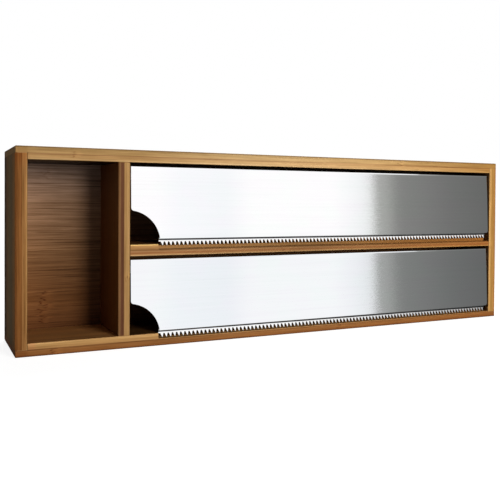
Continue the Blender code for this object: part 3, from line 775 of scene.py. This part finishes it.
def glue_boxes():
    """The places of the glue, as low and high corners in millimetres.

    They are the joint gaps of the lapped corners, of the divider's ends and of the shelf's ends, read
    off the boards' own boxes; each lies a little behind the faces that show.
    """
    low = {name: np.array(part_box(name)[0]) * MM for name in BOARDS}
    high = {name: np.array(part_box(name)[1]) * MM for name in BOARDS}
    front, back = low["top_board"][1] + GLUE_RECESS, high["top_board"][1] - GLUE_RECESS
    floor, ceiling = high["bottom_board"][2], low["top_board"][2]
    boxes = []
    for side in ("left_side", "right_side"):
        inner, outer = (high, low) if side == "left_side" else (low, high)
        wall, face = inner[side][0], outer[side][0]
        inward = np.sign(wall - face)
        shoulder = wall + inward * JOINT_GAP
        for edge, lap, ledge in ((high[side][2], 1.0, ceiling), (low[side][2], -1.0, floor)):
            recess = face + inward * GLUE_RECESS
            boxes.append(((recess, front, edge), (wall, back, edge + lap * JOINT_GAP)))
            for start, end in ((front, front + GLUE_REACH), (back - GLUE_REACH, back)):
                boxes.append(((wall, start, ledge + lap * GLUE_RECESS), (shoulder, end, edge)))
    left, right = low["divider"][0], high["divider"][0]
    start, end = front + GLUE_INSET, front + GLUE_REACH
    for ledge in (floor, ceiling - JOINT_GAP):
        boxes.append(((left + GLUE_INSET, start, ledge), (right - GLUE_INSET, end, ledge + JOINT_GAP)))
    under, over = low["roll_shelf"][2] + GLUE_INSET, high["roll_shelf"][2] - GLUE_INSET
    boxes.append(((right, start, under), (right + JOINT_GAP, end, over)))
    return boxes


def glue_joints():
    """One piece of small blocks, each spanned by its low and high corner, in the gaps of the joints."""
    corners = np.array([(0, 0, 0), (1, 0, 0), (1, 1, 0), (0, 1, 0),
                        (0, 0, 1), (1, 0, 1), (1, 1, 1), (0, 1, 1)])
    sides = np.array([(0, 3, 2, 1), (4, 5, 6, 7), (0, 1, 5, 4), (1, 2, 6, 5), (2, 3, 7, 6), (3, 0, 4, 7)])
    ends = np.array(glue_boxes())
    low = ends.min(axis=1) + GLUE_SLACK
    high = ends.max(axis=1) - GLUE_SLACK
    points = low[:, None, :] + corners[None, :, :] * (high - low)[:, None, :]
    faces = sides[None, :, :] + np.arange(len(ends))[:, None, None] * len(corners)
    mesh = bpy.data.meshes.new("joint_glue")
    mesh.from_pydata((points.reshape(-1, 3) / MM).tolist(), [], faces.reshape(-1, 4).tolist())
    glue = bpy.data.objects.new("joint_glue", mesh)
    bpy.context.scene.collection.objects.link(glue)
    mesh.materials.append(dried_glue("dried_wood_glue"))
    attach(glue, "cabinet")


# ---------------------------------------------------------------------------
# Studio pieces
# ---------------------------------------------------------------------------


def build_floor():
    """A white floor that keeps the object's shadow and is as white as the backdrop elsewhere."""
    half = FLOOR_SIDE / 2.0
    corners = np.array([(-half, -half, 0.0), (half, -half, 0.0), (half, half, 0.0), (-half, half, 0.0)])
    mesh = bpy.data.meshes.new("studio_floor")
    mesh.from_pydata(corners.tolist(), [], [(0, 1, 2, 3)])
    floor = bpy.data.objects.new("studio_floor", mesh)
    bpy.context.scene.collection.objects.link(floor)
    material, tree = finish_of("studio_floor")
    x, y = millimetres(tree)[:2]
    near = ((x * x + y * y) ** 0.5).fall(*FLOOR_REACH)
    catch = near * FLOOR_CATCH
    grey = (FLOOR_COLOUR, FLOOR_COLOUR, FLOOR_COLOUR, 1.0)
    card = tree.node("ShaderNodeBsdfDiffuse", None, {"Color": grey})
    shaded = tree.node("ShaderNodeBsdfDiffuse", None, {"Color": tree.vector(catch, catch, catch)})
    glow = tree.node("ShaderNodeEmission", None, {"Strength": 1.0 - near * FLOOR_SHADE})
    shown = tree.node("ShaderNodeAddShader", None, {0: shaded, 1: glow})
    surface = tree.node("ShaderNodeMixShader", None, {0: seen_rays(tree), 1: card, 2: shown})
    tree.node("ShaderNodeOutputMaterial", None, {"Surface": surface})
    mesh.materials.append(material)
    floor.visible_glossy = False


def seen_rays(tree):
    """One for camera, glossy and transmission rays, which see the backdrop, and nothing for the rest."""
    rays = [tree.node("ShaderNodeLightPath", None, None, name)
            for name in ("Is Camera Ray", "Is Glossy Ray", "Is Transmission Ray")]
    return rays[0].most(rays[1]).most(rays[2])


def build_world():
    """White for the camera, the room's tones for gloss and a dim light for all other rays."""
    world = bpy.data.worlds.new("studio")
    world.use_nodes = True
    bpy.context.scene.world = world
    tree = Tree(world.node_tree)
    direction = tree.node("ShaderNodeTexCoord", None, None, "Generated")
    right, back, height = [tree.part(direction, axis) for axis in range(3)]
    angle = right.math("ARCTAN2", -back) * (180.0 / np.pi)
    lower = height.fall(*LOW_SPAN)
    angle = angle + lower * LOW_SHIFT
    stops = [((at - TONE_START) / TONE_SPAN, tone) for at, tone in REFLECTED_TONES]
    tone = tree.ramp((angle - TONE_START) / TONE_SPAN, stops)
    tone = tree.mix(angle.fall(*FAR_LEFT_SPAN), tone, FAR_LEFT_TONE)
    tone = tree.glaze(lower, tone, LOW_TINT)
    tone = tree.mix(height.rise(*CEILING_SPAN), tone, WHITE)
    tone = tree.mix(height.fall(*UNDER_SPAN), tone, UNDER_TONE)
    glossy = tree.node("ShaderNodeLightPath", None, None, "Is Glossy Ray")
    colour = tree.mix(glossy, WHITE, tone)
    strength = seen_rays(tree) * (1.0 - AMBIENT) + AMBIENT
    background = tree.node("ShaderNodeBackground", None, {"Color": colour, "Strength": strength})
    tree.node("ShaderNodeOutputWorld", None, {"Surface": background})


def aim(thing, target):
    """Turns a lamp so that it shines at a target."""
    direction = Vector(target) - thing.location
    thing.rotation_euler = direction.to_track_quat("-Z", "Y").to_euler()


def add_lamp(name, azimuth, elevation, distance, size, power):
    """A square soft lamp aimed at the cabinet; its azimuth is counted from the front to the right."""
    light = bpy.data.lights.new(name, "AREA")
    light.shape = "SQUARE"
    light.size = size
    light.energy = power
    lamp = bpy.data.objects.new(name, light)
    bpy.context.scene.collection.objects.link(lamp)
    flat = distance * cos(elevation)
    height = distance * sin(elevation) + CABINET_MIDDLE
    lamp.location = (flat * sin(azimuth), -flat * cos(azimuth), height)
    aim(lamp, (0.0, 0.0, CABINET_MIDDLE))
    lamp.visible_glossy = False
    lamp.visible_camera = False


def build_camera():
    """The camera of the photograph."""
    forward = Vector((sin(CAMERA_YAW) * cos(CAMERA_PITCH), cos(CAMERA_YAW) * cos(CAMERA_PITCH),
                      sin(CAMERA_PITCH)))
    level = Vector((cos(CAMERA_YAW), -sin(CAMERA_YAW), 0.0))
    upright = level.cross(forward)
    right = level * cos(CAMERA_ROLL) + upright * sin(CAMERA_ROLL)
    up = upright * cos(CAMERA_ROLL) - level * sin(CAMERA_ROLL)
    turn = Matrix((right, up, -forward)).transposed().to_4x4()
    data = bpy.data.cameras.new("photograph_camera")
    data.sensor_width = SENSOR_WIDTH
    data.lens = FOCAL_PIXELS * SENSOR_WIDTH / PICTURE_SIDE
    data.shift_y = (CENTRE_ROW - PICTURE_SIDE / 2.0) / PICTURE_SIDE
    data.clip_start = 0.01
    camera = bpy.data.objects.new("photograph_camera", data)
    camera.matrix_world = Matrix.Translation(CAMERA_PLACE) @ turn
    bpy.context.scene.collection.objects.link(camera)
    bpy.context.scene.camera = camera


def build():
    """The studio and the dressed cabinet."""
    bpy.context.scene.view_settings.view_transform = "Standard"
    build_camera()
    build_world()
    build_floor()
    add_lamp("key_lamp", KEY_AZIMUTH, KEY_ELEVATION, KEY_DISTANCE, KEY_SIZE, KEY_POWER)
    add_lamp("top_lamp", TOP_AZIMUTH, TOP_ELEVATION, TOP_DISTANCE, TOP_SIZE, TOP_POWER)
    dress_all()
    glue_joints()


build()
